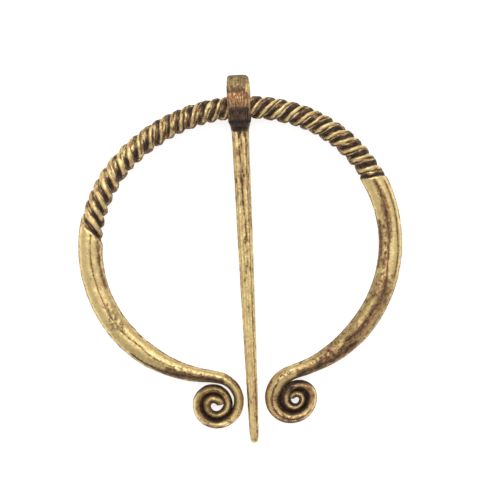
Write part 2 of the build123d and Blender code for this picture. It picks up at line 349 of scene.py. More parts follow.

# Along a scroll: turn rolled back, where across the bar it goes dark towards
# its outer and its inner edge (1 is the edge), painted shade with patina where the
# flanks turn away and run into the recess between turns, and grime all over
leftFlanks = [
    (0, 1.3, 1.00, 0.0), (60, 1.1, 0.78, 0.0), (120, 1.0, 0.50, 0.0), (171, 0.95, 0.22, 0.05),
    (261, 0.95, 0.30, 0.0), (310, 0.55, 0.42, 0.05), (351, 0.35, 0.42, 0.10), (441, 0.30, 0.42, 0.05),
    (531, 0.35, 0.30, 0.10), (621, 0.42, 0.70, 0.05), (711, 0.50, 0.60, 0.15), (781, 0.50, 0.60, 0.15),
]
rightFlanks = [
    (0, 1.3, 1.0, 0.0), (40, 1.1, 0.62, 0.0), (74, 1.0, 0.50, 0.0), (164, 0.55, 0.32, 0.08),
    (254, 0.95, 0.30, 0.0), (305, 0.55, 0.35, 0.08), (335, 0.25, 0.25, 0.35), (390, 0.10, 0.25, 0.45),
    (434, 0.15, 0.25, 0.20), (524, 0.15, 0.25, 0.22), (614, 0.25, 0.30, 0.20), (704, 0.45, 0.45, 0.25),
]
# Stains on the outer turns, and first the crease beside the right one's second
# ridge: turn rolled back, place across the bar, half width
rightStains = [
    ([(30, 0.05, 0.10), (74, -0.06, 0.13), (120, -0.12, 0.14), (164, -0.25, 0.18), (200, -0.35, 0.18)],
     0.92, 0.3, 0.08),
    ([(36, -0.95, 0.14), (74, -0.97, 0.12), (125, -0.93, 0.16), (150, -0.80, 0.26), (190, -0.75, 0.30)],
     0.88, 0.3, 0.0),
    ([(185, -0.45, 0.30), (225, -0.50, 0.28)], 0.62, 0.7, 0.0),
]
leftStains = [
    ([(18, -0.70, 0.30), (42, -0.78, 0.28), (64, -0.93, 0.16), (100, -0.97, 0.12)], 0.88, 0.5, 0.0),
    ([(112, -0.35, 0.22), (138, -0.50, 0.25)], 0.55, 0.8, 0.0),
    ([(155, -0.80, 0.24), (186, -0.66, 0.32), (215, -0.90, 0.18)], 0.90, 0.5, 0.0),
]

# What a station of the bar holds: its place, the way out of the hoop there, half
# width outward (which is in towards a scroll's middle) and inward, half height,
# roof, crest, turn walked from the loop, and millimetres from it, less than 0 on
# the right
stationColumns = (
    "x", "y", "outX", "outY", "halfIn", "halfOut", "halfUp", "roof", "crest", "walked", "place",
)


def column(stations, name):
    return stations[:, stationColumns.index(name)]


# Stations from the loop to one scroll's tip, and how far along and how thick
# each plain bend ends
def walkBar(side, crownTurn, twistTurn, sideShare, bends):
    look = hoopLook
    sizes = {"arm": (look["armWidth"], look["armHeight"]), "roll": (look["rollWidth"], look["rollHeight"])}
    radii = {"hoop": look["radius"], "roll": look["rollRadius"]}
    before = (look["crest"], look["crest"], 0.0, 0.0)
    rows = [(crownTurn, look["crownShare"] * look["radius"], before, look["crownStep"]),
            (twistTurn, sideShare * look["radius"], before, look["crownStep"])]
    for turn, bentRound, share, bar, width, height, roof, crest in bends:
        half = (width * sizes[bar][0] / 2, height * sizes[bar][1] / 2, roof, crest)
        stepLength = look["armStep"] if bentRound == "hoop" else look["scrollStep"]
        rows.append((turn, share * radii[bentRound], half, stepLength))
    x, y, walked, distance = 0.0, 0.0, 0.0, 0.0
    heading = 180.0 if side > 0 else 0.0
    stations, rowEnds = [], []
    for turn, radius, after, stepLength in rows:
        sweep = turn * side
        inward = 90 if sweep > 0 else -90
        middleX = x + radius * cos(radians(heading + inward))
        middleY = y + radius * sin(radians(heading + inward))
        length = radians(abs(turn)) * radius
        steps = max(2, ceil(length / stepLength))
        for step in range(1, steps + 1):
            share = step / steps
            angle = heading + sweep * share
            x = middleX + radius * cos(radians(angle - inward))
            y = middleY + radius * sin(radians(angle - inward))
            width, *size = [blend(first, last, share) for first, last in zip(before, after)]
            outward = (sin(radians(angle)) * side, -cos(radians(angle)) * side)
            place = side * (distance + length * share)
            stations.append((x, y, *outward, width, width, *size, walked + turn * share, place))
        heading += sweep
        walked += turn
        distance += length
        before = after
        rowEnds.append((y, after[1]))
    return np.array(stations), rowEnds[2:]


# Widens the turns of a scroll until their flanks meet, where no daylight shows
def closeTurns(stations, fromTurn, toTurn):
    halfIn, halfOut, walked = [column(stations, name) for name in ("halfIn", "halfOut", "walked")]
    nearTurn, farTurn = 250, 450   # between these further on lies the next turn inside
    smoothed = 13                  # stations over which the steps that this leaves are ironed out
    start = int(np.argmax(walked))
    for index in range(start, len(stations)):
        if not toTurn <= walked[index] <= fromTurn:
            continue
        inside = np.where((walked < walked[index] - nearTurn) & (walked > walked[index] - farTurn))[0]
        inside = inside[inside > index]
        if len(inside) == 0:
            continue
        gaps = np.hypot(*(stations[inside, :2] - stations[index, :2]).T)
        nearest = int(inside[np.argmin(gaps)])
        spare = (gaps.min() - halfIn[index] - halfOut[nearest]) / 2 + hoopLook["lap"]
        if spare > 0:
            halfIn[index] += spare
            halfOut[nearest] += spare
    for half in (halfIn, halfOut):
        padded = np.pad(half[start:], smoothed // 2, mode="edge")
        half[start:] = np.convolve(padded, np.ones(smoothed) / smoothed, mode="valid")


# How far each station's turn has come back from its furthest, 0 before that
def rolledBack(stations):
    walked = column(stations, "walked")
    furthest = int(np.argmax(walked))
    return np.where(np.arange(len(walked)) > furthest, walked[furthest] - walked, 0.0)


# The bar as a grid of points: a row for each station from the left scroll's tip
# to the right one's, a column for each angle from the outer edge over the front
def layOutBar():
    look = hoopLook
    left, leftEnds = walkBar(1, look["crownLeft"], look["twistLeft"], look["leftShare"], leftBends)
    right, rightEnds = walkBar(-1, look["crownRight"], look["twistRight"], look["rightShare"], rightBends)
    closeTurns(left, *look["closedLeft"])
    closeTurns(right, *look["closedRight"])
    stations = np.vstack([left[::-1], right])
    bar = SimpleNamespace(**{name: column(stations, name)[:, None] for name in stationColumns})
    bar.lean = atan(min((swingPoint[2] - half) / -y for y, half in leftEnds + rightEnds))
    bar.onLeft = (np.arange(len(stations)) < len(left))[:, None]
    bar.back = np.concatenate([rolledBack(left)[::-1], rolledBack(right)])[:, None]
    bar.onScroll = ease(bar.back, 30, 70)
    middleX, middleY = photo["hoopMiddle"]
    bearing = np.degrees(np.arctan2(bar.y - middleY, bar.x - middleX)) + photo["turn"]
    bar.bearing = np.where(bar.onLeft & (bearing < 0), bearing + 360, bearing)
    bar.angles = np.concatenate([
        np.linspace(0, pi, look["pointsFront"], endpoint=False),
        np.linspace(pi, 2 * pi, look["pointsBack"], endpoint=False),
    ])[None, :]
    bar.across, bar.rise = np.cos(bar.angles), np.sin(bar.angles)
    bar.onFront = ease(bar.rise, -0.05, 0.2)
    return bar


def pointsAt(bar, sideways, upward):
    return np.stack([bar.x + bar.outX * sideways, bar.y + bar.outY * sideways, upward], axis=-1)


# Plain bar: rounded on the arms, with a roof that has its ridge off the middle on the scrolls
def shapePlain(bar):
    look = hoopLook
    outer, inner = (bar.across - bar.crest) / (1 - bar.crest), (bar.crest - bar.across) / (1 + bar.crest)
    offRidge = np.where(bar.across > bar.crest, outer, inner)
    gable = (1 - np.abs(offRidge) ** look["roofPower"]) * np.abs(bar.rise) ** look["eavePower"]
    height = (1 - bar.roof) * np.abs(bar.rise) ** look["barPower"] + bar.roof * gable
    bar.plainAcross = np.where(bar.across > 0, bar.halfIn, bar.halfOut) * bar.across
    bar.plainUp = bar.halfUp * height * np.sign(bar.rise)


# Twisted bar: which ridge each point lies on, and how far the bar is twisted there
def placeRidges(bar):
    look = hoopLook
    outerAngles, innerAngles = np.array(ridgeAngles).T
    order = np.arange(len(ridgeAngles)) - 1.0
    outerRidge, innerRidge = [np.interp(bar.bearing, spots, order) for spots in (outerAngles, innerAngles)]
    outerSpot, innerSpot = np.arccos(ridgeSpots)

    def ridgeAt(angle):
        return outerRidge + (innerRidge - outerRidge) * (angle - outerSpot) / (innerSpot - outerSpot)

    inFront = bar.angles <= pi
    overBack = ridgeAt(pi) + (ridgeAt(0) - look["ridgeStarts"] - ridgeAt(pi)) * (bar.angles - pi) / pi
    bar.ridge = np.where(inFront, ridgeAt(bar.angles), overBack)
    # on the back, the ridge that lies right over each point on the front
    bar.mirrored = ridgeAt(np.where(inFront, bar.angles, 2 * pi - bar.angles))
    start, end, fade, notchFade = look["twistFrom"], look["twistTo"], look["twistFade"], look["notchFade"]
    bar.twisted = between(bar.mirrored, start - fade, start + fade, end - fade, end + fade)
    bar.notched = between(bar.mirrored, start, start + notchFade, end - notchFade, end)


# Heights of the ridges, grooves and notches of the twist, and the grime in them
def shapeTwist(bar):
    look = hoopLook
    core = pointsAt(bar, bar.plainAcross, bar.plainUp)
    wobble = sum(depth * lumps(core, size, shift) for depth, size, shift in look["wobbles"])
    within = np.mod(look["ridgeCrest"] - bar.ridge - wobble, 1.0)
    boldHeight, boldGrime, fineHeight, fineGrime, broadHeight, broadGrime = readTable(ridgeProfile, within)
    fine, broad, *darkness = readTable(zones, bar.bearing)
    bold = 1 - fine - broad
    ridgeHeight = boldHeight * bold + fineHeight * fine + broadHeight * broad
    grimeAndShade = boldGrime * bold + fineGrime * fine + broadGrime * broad

    spots, apart = np.clip(bar.across, zoneSpots[0], zoneSpots[-1]), zoneSpots[1] - zoneSpots[0]
    nearness = [np.clip(1 - np.abs(spots - spot) / apart, 0, 1) for spot in zoneSpots]
    grooveGrime = sum(dark * near for dark, near in zip(darkness, nearness))
    grimeAndShade = grimeAndShade * blend(1, grooveGrime, ease(within, *look["crestEnd"]))
    alongRidge = np.stack([
        np.broadcast_to(bar.angles * look["crest"] / look["strandLong"], bar.ridge.shape),
        bar.ridge * look["ridgeSpacing"] / look["strandWide"], np.zeros_like(bar.ridge),
    ], axis=-1)
    strands = lumps(alongRidge, 1.0, 5.0)
    grimeAndShade = grimeAndShade - strands * (0.20 + 0.45 * ease(grimeAndShade, 0.1, 0.5))
    grimeAndShade = grimeAndShade + 0.10 * between(bar.bearing, 92, 100, 126, 140)   # left of the loop it is darker
    bar.ridgeGrime = grimeAndShade + 0.07 * ease(bar.bearing, 88, 96)

    (grooveDepth,) = readTable(grooveDepths, np.degrees(bar.angles))
    (notchDepth,) = readTable(notchDepths, np.degrees(bar.angles))
    reach = look["crest"] - grooveDepth * (1 - ridgeHeight)
    reach = reach + look["strandDepth"] * strands - look["crestDrop"]
    inNotch = 1 - np.abs(np.sin(pi * (within - look["notchPlace"]))) ** look["notchPower"]
    reach = reach - notchDepth * bar.notched * inNotch
    # the last groove meets the arm without a bite in its edge
    filled = ease(bar.mirrored, look["twistTo"] - 0.6, look["twistTo"] - 0.1) * ease(-bar.across, 0.45, 0.85)
    reach = blend(reach, look["crest"] - look["lastCrestDrop"], filled)
    bar.sideways = blend(bar.plainAcross, reach * bar.across, bar.twisted)
    bar.upward = blend(bar.plainUp, reach * bar.rise, bar.twisted)


# Grime, with painted shade on the bar's sides, dullness and creases of the arms,
# and how deep the creases and the valley down the middle are
def markArms(bar, patches, stains, sideShade):
    look = hoopLook
    fadeOver, spread = look["stripFade"], look["stripSpread"]
    creases, dent = drawStrips(armStrips, bar.bearing, bar.sideways, patches, fadeOver, spread)
    middle = leftMiddle + rightMiddleHigh + rightMiddleLow[1:]
    (valley,) = readTable([row[:2] for row in middle], bar.bearing)
    valleyDent = look["valleyDepth"] * np.exp(-((bar.sideways - valley) / look["valleyWidth"]) ** 2)
    fromCrown = np.abs(bar.bearing - 100)
    valleyDent = valleyDent * between(fromCrown, 70, 74, 118, 132)   # between the twist and the scrolls
    outerDull, innerDull, outerMottle, innerMottle = readTable(armTones, bar.bearing)
    outward = ease(bar.across, -0.35, 0.35)
    dull = blend(innerDull, outerDull, outward)
    mottle = blend(innerMottle, outerMottle, outward) * ease(patches, 0.25, 0.95) * 1.3
    grimeAndShade = largest(creases * bar.onFront, stains * bar.onFront, mottle, sideShade)
    return grimeAndShade, dull, creases, np.maximum(dent, valleyDent)


# Grime, patina and painted shade on a scroll's flanks, and painted shade on the bar's sides
def markScrolls(bar, patches, stains, sideShade):
    flanks = zip(readTable(leftFlanks, bar.back), readTable(rightFlanks, bar.back))
    outerDark, innerDark, allOver = [np.where(bar.onLeft, left, right) for left, right in flanks]
    flank = np.maximum(ease(bar.across - innerDark, -0.16, 0.34), ease(-bar.across - outerDark, -0.16, 0.34))
    flank = flank * np.where(bar.rise > 0, 0.92, 0.8) + 0.16 * (patches - 0.6)
    return largest(flank, allOver + 0.45 * ease(patches, 0.35, 0.95), stains * bar.onFront, sideShade)


# All that the brass reads on the hoop, and how deep its creases are
def markHoop(bar):
    look = hoopLook
    twisted, onArm = bar.twisted, (1 - bar.twisted) * (1 - bar.onScroll)
    bar.core = pointsAt(bar, bar.sideways, bar.upward)
    patches = 0.5 + 0.5 * lumps(bar.core, 0.8) + 0.35 * lumps(bar.core, 0.32, 7.0)
    # painted shade on the bar's sides, where its section turns away, and on a scroll also towards its outer
    # edge
    sideShade = 0.48 * (1 - ease(np.abs(bar.rise), 0.24, 0.66))
    scrollSideShade = np.maximum(sideShade, 0.5 * ease(-bar.across, 0.72, 0.97))
    noStain = -99.0   # a turn that no stain reaches
    stains, stainDent = drawStrips(
        rightStains, np.where(bar.onLeft, noStain, bar.back), bar.across, patches, look["stainFade"])
    leftOnes, _ = drawStrips(
        leftStains, np.where(bar.onLeft, bar.back, noStain), bar.across, patches, look["stainFade"])
    stains = np.maximum(stains, leftOnes)
    armGrimeAndShade, armDull, creases, armDent = markArms(bar, patches, stains, sideShade)
    scrollGrimeAndShade = markScrolls(bar, patches, stains, scrollSideShade)
    # painted shade towards the twist's inner and outer edges, over the patina in its grooves
    edgeShade = 0.55 * ease(-bar.across, 0.55, 0.88) + 0.35 * ease(bar.across, 0.80, 0.97)
    crownPatinaAndShade = np.maximum(bar.ridgeGrime, edgeShade) + 0.22 * (patches - 0.45)
    grimeAndShade = crownPatinaAndShade * twisted + (armGrimeAndShade * onArm + scrollGrimeAndShade * (1 - onArm)) * (1 - twisted)

    inCrease = ease(creases, 0.12, 0.40) * bar.onFront * (1 - twisted)
    dull = np.maximum(armDull * onArm + 0.10 * (1 - onArm), 0.95 * inCrease)
    red = ease(lumps(bar.core, 1.1, 11.0), 0.05, 0.50)
    red = red * (0.10 + 0.20 * twisted + (0.35 + 0.20 * twisted) * ease(grimeAndShade, 0.15, 0.45))
    red = red + 0.40 * ease(bar.back, 5, 70) * between(grimeAndShade, 0.08, 0.40, 0.60, 0.90)
    red = red + 0.30 * inCrease * (bar.bearing < 90)
    streaky = twisted + (0.35 + 0.45 * np.maximum(inCrease, ease(scrollSideShade, 0.1, 0.4))) * (1 - twisted)
    bar.tints = np.stack([grimeAndShade, dull, red, streaky], axis=-1)
    bar.lay = np.stack([
        np.where(twisted > 0.5, bar.angles * look["crest"] + look["twistLay"], bar.place),
        np.where(twisted > 0.5, bar.ridge * look["ridgeSpacing"], bar.sideways),
        np.broadcast_to(np.sign(bar.rise) * sideLay, bar.ridge.shape),
    ], axis=-1)
    bar.dent = (armDent * onArm + stainDent * (1 - onArm) * (1 - twisted)) * bar.onFront


# Rings that round off one end of the bar, from the bar outward
def tipRings(points, end, inner):
    middle = points[end].mean(0)
    ahead = middle - points[inner].mean(0)
    ahead = ahead / np.linalg.norm(ahead) * hoopLook["tipLength"]
    bends = [radians(bend) for bend in hoopLook["tipBends"]]
    return np.array([middle + (points[end] - middle) * cos(bend) + ahead * sin(bend) for bend in bends])


# What the bar's rings read, and its first and last ones again for the rings of the tips
def withTips(values):
    more = len(hoopLook["tipBends"])
    return np.concatenate([values[:1].repeat(more, 0), values, values[-1:].repeat(more, 0)])


def makeHoop():
    look = hoopLook
    bar = layOutBar()
    shapePlain(bar)
    placeRidges(bar)
    shapeTwist(bar)
    markHoop(bar)

    # a hand-made unevenness
    swell = look["lumpDepth"] * lumps(bar.core, look["lumpSize"])
    swell = swell + look["grainDepth"] * lumps(bar.core, look["grainSize"], 3.0)
    points = pointsAt(bar, bar.sideways + swell * bar.across, bar.upward - bar.dent + swell * bar.rise)
    leaning = np.array([[1, 0, 0], [0, cos(bar.lean), -sin(bar.lean)], [0, sin(bar.lean), cos(bar.lean)]])
    points = points @ leaning.T + swingPoint

    piece = tubeMesh("hoopBar", np.vstack([tipRings(points, 0, 3)[::-1], points, tipRings(points, -1, -4)]))
    setFinish(piece.data, listed(withTips(bar.tints)), listed(withTips(bar.lay)))
    return piece


hoopBar = makeHoop()
print("hoop made,", len(hoopBar.data.polygons), "faces")

# Pin, in millimetres from the bar's mid-line in its loop
pinLook = {
    "length": 52.2, "width": 2.72, "height": 2.3,
    "strapWidth": 3.65, "strapThickness": 0.85, "slack": 2.05, "eye": 2.17,
    "stationStep": 0.12, "pointsAround": 72, "strapSteps": 200, "strapPoints": 76,
    # the shaft's end under the loop, hidden in the strap's wall
    "heel": (-0.05, 2.46), "heelSteps": 22, "heelRadius": 2.6, "heelStep": 0.01,
    "bodyFrom": 2.5, "bodyTo": 0.987,       # millimetres, then a share of the length
    "tipShares": (0.988, 0.991, 0.994, 0.9965, 0.9982, 0.9993, 1.0),
    # millimetres from the bar line, share of the strap's width there
    "strapWidths": (
        (-3.05, 0.79), (-2.65, 0.91), (-2.1, 1.0), (2.6, 1.0), (4.2, 0.97), (4.9, 0.92), (5.1, 0.87),
    ),
    "seamAngle": 50.0, "seamHalf": 0.18, "seamDepth": 0.22,
    "bevelWide": 0.50, "bevelDeep": 0.34,   # on the loop's right edge
    "lumpSize": 1.1, "lumpDepth": 0.03, "grainSize": 0.36, "grainDepth": 0.018,
    "streakSize": 0.26, "streakLong": 0.14, "streakDepth": 0.014,
    "stripFade": 0.6, "stripSpread": 1.5,
    "backLay": 9.0,                         # keeps the back's grain apart from the front's
}

# along the pin, width, height, as shares
shaftStations = [
    (0.041, 1.342, 1.80), (0.055, 1.13, 1.30), (0.070, 1.01, 1.06), (0.390, 0.90, 0.96),
    (0.690, 0.735, 0.80), (0.820, 0.65, 0.72), (0.960, 0.55, 0.60), (0.984, 0.50, 0.56),
    (0.992, 0.44, 0.50), (0.997, 0.33, 0.38), (0.9993, 0.19, 0.22), (1.000, 0.08, 0.10),
]
# the shaft's section: across and up, as shares of its width and height
shaftSection = np.array([
    (-0.36, 0.0), (0.36, 0.0), (0.5, 0.42), (0.47, 0.62), (0.33, 0.94), (0.26, 1.0), (0.05, 0.95),
    (-0.03, 0.90), (-0.10, 0.94), (-0.27, 0.99), (-0.40, 0.90), (-0.47, 0.70), (-0.5, 0.42),
])

# Grime along the shaft: millimetres from the loop's bar line, millimetres to
# the right of the pin's middle, half width
shaftStrips = [
    ([(-52, 0.50, 0.04), (-38, 0.53, 0.04), (-26, 0.64, 0.045), (-15, 0.72, 0.05), (-3, 0.77, 0.05)],
     0.68, 0.5, 0.03),
    ([(-6.4, 0.10, 0.05), (-4.8, -0.05, 0.08), (-3.4, -0.12, 0.10)], 0.85, 0.4, 0.03),
    ([(-17, -0.02, 0.05), (-12.7, -0.10, 0.07), (-9.3, -0.12, 0.07), (-5.8, -0.28, 0.05)], 0.88, 0.3, 0.05),
    ([(-12.9, -0.14, 0.16), (-11, -0.08, 0.20), (-9.4, -0.02, 0.14)], 0.88, 0.7, 0.0),
    ([(-28, 0.15, 0.15), (-24, 0.10, 0.24), (-20, 0.10, 0.22), (-17, 0.05, 0.15)], 0.62, 0.95, 0.0),
    ([(-28.9, 0.40, 0.16), (-28.1, 0.45, 0.16)], 0.80, 0.6, 0.0),
    ([(-32.5, 0.05, 0.10), (-30.5, 0.10, 0.12)], 0.50, 0.9, 0.0),
    ([(-40, 0.72, 0.10), (-34, 0.80, 0.12), (-20, 0.95, 0.14), (-3, 1.05, 0.15)], 0.42, 0.8, 0.0),
    ([(-51, 0.40, 0.10), (-49, 0.45, 0.20), (-46, 0.45, 0.24), (-43, 0.50, 0.18), (-40, 0.58, 0.10)],
     0.46, 0.4, 0.0),
    ([(-49, 0.28, 0.07), (-46, 0.20, 0.07)], 0.55, 0.6, 0.0),
    ([(-12, -0.97, 0.10), (-10.6, -1.02, 0.10)], 0.72, 0.5, 0.0),
    ([(-47.5, -0.72, 0.08), (-42.5, -0.80, 0.08)], 0.82, 0.4, 0.0),
    ([(-5.6, 0.20, 0.45), (-4.6, 0.10, 0.70), (-3.2, 0.0, 0.9)], 0.72, 0.95, 0.0),
    ([(-52, -0.62, 0.05), (-40, -0.86, 0.05), (-20, -1.10, 0.06), (-3, -1.22, 0.06)], 0.55, 0.3, 0.0),
]

# Along the front of the loop: millimetres from the bar line, grime with painted
# shade (dark where the strap curls down under the bar line and where it turns away
# at its top), mottling, dullness, redness
loopBands = [
    (-4.2, 0.30, 0.7, 0.5, 0.1), (-3.6, 0.86, 0.5, 0.5, 0.1), (-2.9, 0.96, 0.4, 0.4, 0.0),
    (-2.5, 0.98, 0.2, 0.4, 0.0), (-2.1, 1.00, 0.1, 0.4, 0.2), (-1.85, 0.76, 0.2, 0.6, 0.2),
    (-1.5, 0.78, 0.2, 0.5, 0.8), (-1.1, 0.84, 0.2, 0.5, 0.7), (-0.75, 0.92, 0.2, 0.5, 0.1),
    (-0.20, 0.88, 0.2, 0.5, 0.1), (0.05, 0.55, 0.4, 0.5, 0.50), (1.0, 0.42, 0.5, 0.45, 0.60),
    (1.30, 0.40, 0.5, 0.2, 0.95), (2.15, 0.44, 0.5, 0.2, 1.0), (2.35, 0.62, 0.6, 0.9, 0.10),
    (3.1, 0.58, 0.6, 1.0, 0.0), (3.5, 0.28, 0.6, 1.0, 0.0), (4.2, 0.32, 0.6, 1.0, 0.0),
    (4.75, 0.66, 0.3, 1.0, 0.0), (5.1, 0.80, 0.2, 1.0, 0.0),
]


# Even steps along a closed outline
def evenOutline(corners, count):
    ring = np.vstack([corners, corners[:1]])
    lengths = np.concatenate([[0], np.cumsum(np.hypot(*np.diff(ring, axis=0).T))])
    places = np.linspace(0, lengths[-1], count, endpoint=False)
    even = np.stack([np.interp(places, lengths, ring[:, k]) for k in range(2)], axis=-1)
    for _ in range(2):   # softens the corners
        even = (np.roll(even, 1, axis=0) + 2 * even + np.roll(even, -1, axis=0)) / 4
    return even


def makeShaft():
    look = pinLook
    outline = evenOutline(shaftSection, look["pointsAround"])
    heel = np.linspace(*look["heel"], look["heelSteps"])
    body = np.arange(look["bodyFrom"], look["bodyTo"] * look["length"], look["stationStep"])
    tip = look["length"] * np.array(look["tipShares"])
    rings = []
    floor = -swingPoint[2]
    for distance in np.concatenate([heel, [heel[-1] + look["heelStep"]], body, tip]):
        width, height = readTable(shaftStations, distance / look["length"])
        width, height = width * look["width"], height * look["height"]
        if distance <= heel[-1]:
            height = -floor - max(look["heelRadius"] ** 2 - distance ** 2, 0) ** 0.5
        up = floor + outline[:, 1] * height
        rings.append(np.stack([outline[:, 0] * width, np.full(len(up), -distance), up], axis=-1))
    return tubeMesh("shaft", np.array(rings)[:, ::-1])


# The strap, a closed slot round the bar, with a bevel along its right edge
def makeStrap():
    look = pinLook
    half, thick = look["strapWidth"] / 2, look["strapThickness"]
    section = evenOutline(np.array([
        (-half, 0.16), (-half + 0.12, 0.0), (half - 0.12, 0.0), (half, 0.16),
        (half, thick - look["bevelDeep"]), (half - look["bevelWide"], thick - 0.01), (0.0, thick),
        (-half + 0.14, thick - 0.03), (-half, thick - 0.2),
    ]), look["strapPoints"])
    rings = []
    straight, radius = look["slack"], look["eye"]
    bend = pi * radius
    total = 2 * bend + 2 * straight
    for step in range(look["strapSteps"]):
        place = total * step / look["strapSteps"]
        if place < straight:                   # up the back, the loop seen from its left
            y, z, normal = place, -radius, 1.5 * pi
        elif place < straight + bend:          # over the top
            normal = 1.5 * pi + (place - straight) / radius
            y, z = straight + radius * cos(normal), radius * sin(normal)
        elif place < 2 * straight + bend:      # down the front
            y, z, normal = 2 * straight + bend - place, radius, 0.5 * pi
        else:
            normal = 0.5 * pi + (place - 2 * straight - bend) / radius
            y, z = radius * cos(normal), radius * sin(normal)
        reach = section[:, 1:2] * np.array([0.0, cos(normal), sin(normal)])
        level = y + cos(normal) * thick    # how far up the strap's face lies there
        (narrow,) = readTable(look["strapWidths"], level)
        rings.append(np.array([0.0, y, z]) + reach + section[:, :1] * np.array([float(narrow), 0, 0]))
    quads = quadsBetween(look["strapSteps"], look["strapPoints"], closed=True)
    return newPiece("strap", np.vstack(rings), [(a, d, c, b) for a, b, c, d in quads])


def fixNormals(piece):
    shell = bmesh.new()
    shell.from_mesh(piece.data)
    bmesh.ops.recalc_face_normals(shell, faces=shell.faces)
    shell.to_mesh(piece.data)
    shell.free()


# One mesh of shaft and strap
def joinPin():
    shaft, strap = makeShaft(), makeStrap()
    fixNormals(shaft)
    fixNormals(strap)
    union = strap.modifiers.new("union", "BOOLEAN")
    union.operation, union.solver, union.object = "UNION", "EXACT", shaft
    bpy.context.view_layer.update()
    whole = bpy.data.meshes.new_from_object(strap.evaluated_get(bpy.context.evaluated_depsgraph_get()))
    bpy.data.objects.remove(strap)
    bpy.data.objects.remove(shaft)
    whole.name = "pinBar"
    return whole


# The points of the pin, and where on it each of them lies
def layOutPin(mesh):
    look = pinLook
    points = np.empty(len(mesh.vertices) * 3)
    mesh.vertices.foreach_get("co", points)
    points = points.reshape(-1, 3) / millimetre
    x, y, z = points.T
    pin = SimpleNamespace(points=points, x=x, y=y, z=z)
    pin.normals = np.array([vertex.normal[:] for vertex in mesh.vertices])
    pin.upper = ease(pin.normals[:, 2], -0.1, 0.3)
    pin.reachOut = np.hypot(np.where(y > look["slack"], y - look["slack"], np.minimum(y, 0)), z)
    pin.onLoop = ease(y, -3.9, -3.5) * (pin.reachOut > 2.3)
    headDrop = 1.4 * (1 - ease(y, -2.7, -2.2))   # the shaft's head lies lower than the loop
    pin.front = ease(z + headDrop, 0.0, 0.6)
    pin.longPatches = 0.5 + 0.6 * lumps(points * np.array([1, 0.3, 1]), 0.42, 6.0)
    # where the strap's end meets the head
    offSeam = (np.degrees(np.arctan2(-y, z)) - look["seamAngle"]) * radians(1) * pin.reachOut
    pin.seam = np.exp(-(offSeam / look["seamHalf"]) ** 2) * ease(pin.reachOut, 2.5, 2.8) * (z > 0) * (y < 0)
    return pin


# Grime, dullness and redness of the shaft, and the depth of its creases
def markShaft(pin):
    fadeOver, spread = pinLook["stripFade"], pinLook["stripSpread"]
    grimeAndShade, dent = drawStrips(shaftStrips, pin.y, pin.x, pin.longPatches, fadeOver, spread)
    grimeAndShade = np.maximum(grimeAndShade * pin.upper, 0.08 + 0.30 * ease(pin.longPatches, 0.5, 1.0))
    red = 0.30 * ease(lumps(pin.points, 1.7, 21.0), 0.1, 0.6)
    red = red + 0.4 * np.exp(-((pin.y + 45) / 3.5) ** 2) * (pin.x > 0.1)   # a copper patch near the tip
    red = red + 0.25 * ease(grimeAndShade, 0.25, 0.50)
    dull = 0.16 + 0.30 * ease(pin.longPatches, 0.4, 0.9) + 0.25 * ease(pin.x, 0.75, 0.95)
    dull = dull * (1 - 0.7 * (1 - ease(pin.y, -47, -38)))   # worn brighter towards its tip
    return grimeAndShade, dull, red, dent


# Grime with painted shade, dullness and redness of the loop, with painted highlights along its edges
def markLoop(pin):
    x, y, half = pin.x, pin.y, pinLook["strapWidth"] / 2
    patches = 0.5 + 0.5 * lumps(pin.points, 0.7, 5.0) + 0.35 * lumps(pin.points, 0.28, 9.0)
    grimeAndShade, mottling, dull, red = readTable(loopBands, y)
    grimeAndShade = grimeAndShade + mottling * 0.5 * (patches - 0.5)
    # painted highlight along the bevel on the loop's right edge and along its left edge, where grime,
    # dullness and redness are taken away
    glint = between(y, 2.0, 2.7, 3.3, 3.8)   # the bevel's brightest part is also its widest
    bevel = between(x, half - 0.45 - 0.35 * glint, half - 0.32 - 0.25 * glint, half - 0.10, half - 0.03)
    bevel = bevel * between(y, -1.6, -0.9, 3.3, 3.9) * (0.75 + 0.25 * glint)
    leftEdge = (1 - ease(x, -half + 0.12, -half + 0.26)) * between(y, -2.3, -2.0, 0.4, 1.4) * 0.8
    paintedGlint = np.maximum(bevel, leftEdge) * (0.45 + 0.55 * ease(pin.longPatches + glint, 0.3, 0.8))
    grimeAndShade, dull, red = grimeAndShade * (1 - 0.85 * paintedGlint), dull * (1 - 0.8 * paintedGlint), red * (1 - paintedGlint)
    backGrime = 0.25 + 0.45 * ease(patches, 0.4, 0.9)
    # painted shade on the strap's side faces and inside the eye round the bar
    loopSideShade = np.where(np.abs(x) > half - 0.05, 0.62, 0.0)
    eyeShade = 0.9 * (pin.reachOut < 2.35)
    grimeAndShade = largest(grimeAndShade * pin.front + backGrime * (1 - pin.front), loopSideShade, eyeShade)
    # painted shade in the gap where the strap's end meets the head
    grimeAndShade = np.maximum(grimeAndShade, np.minimum(pin.seam * 1.5, 1))
    return grimeAndShade, blend(0.4, dull, pin.front), red * pin.front


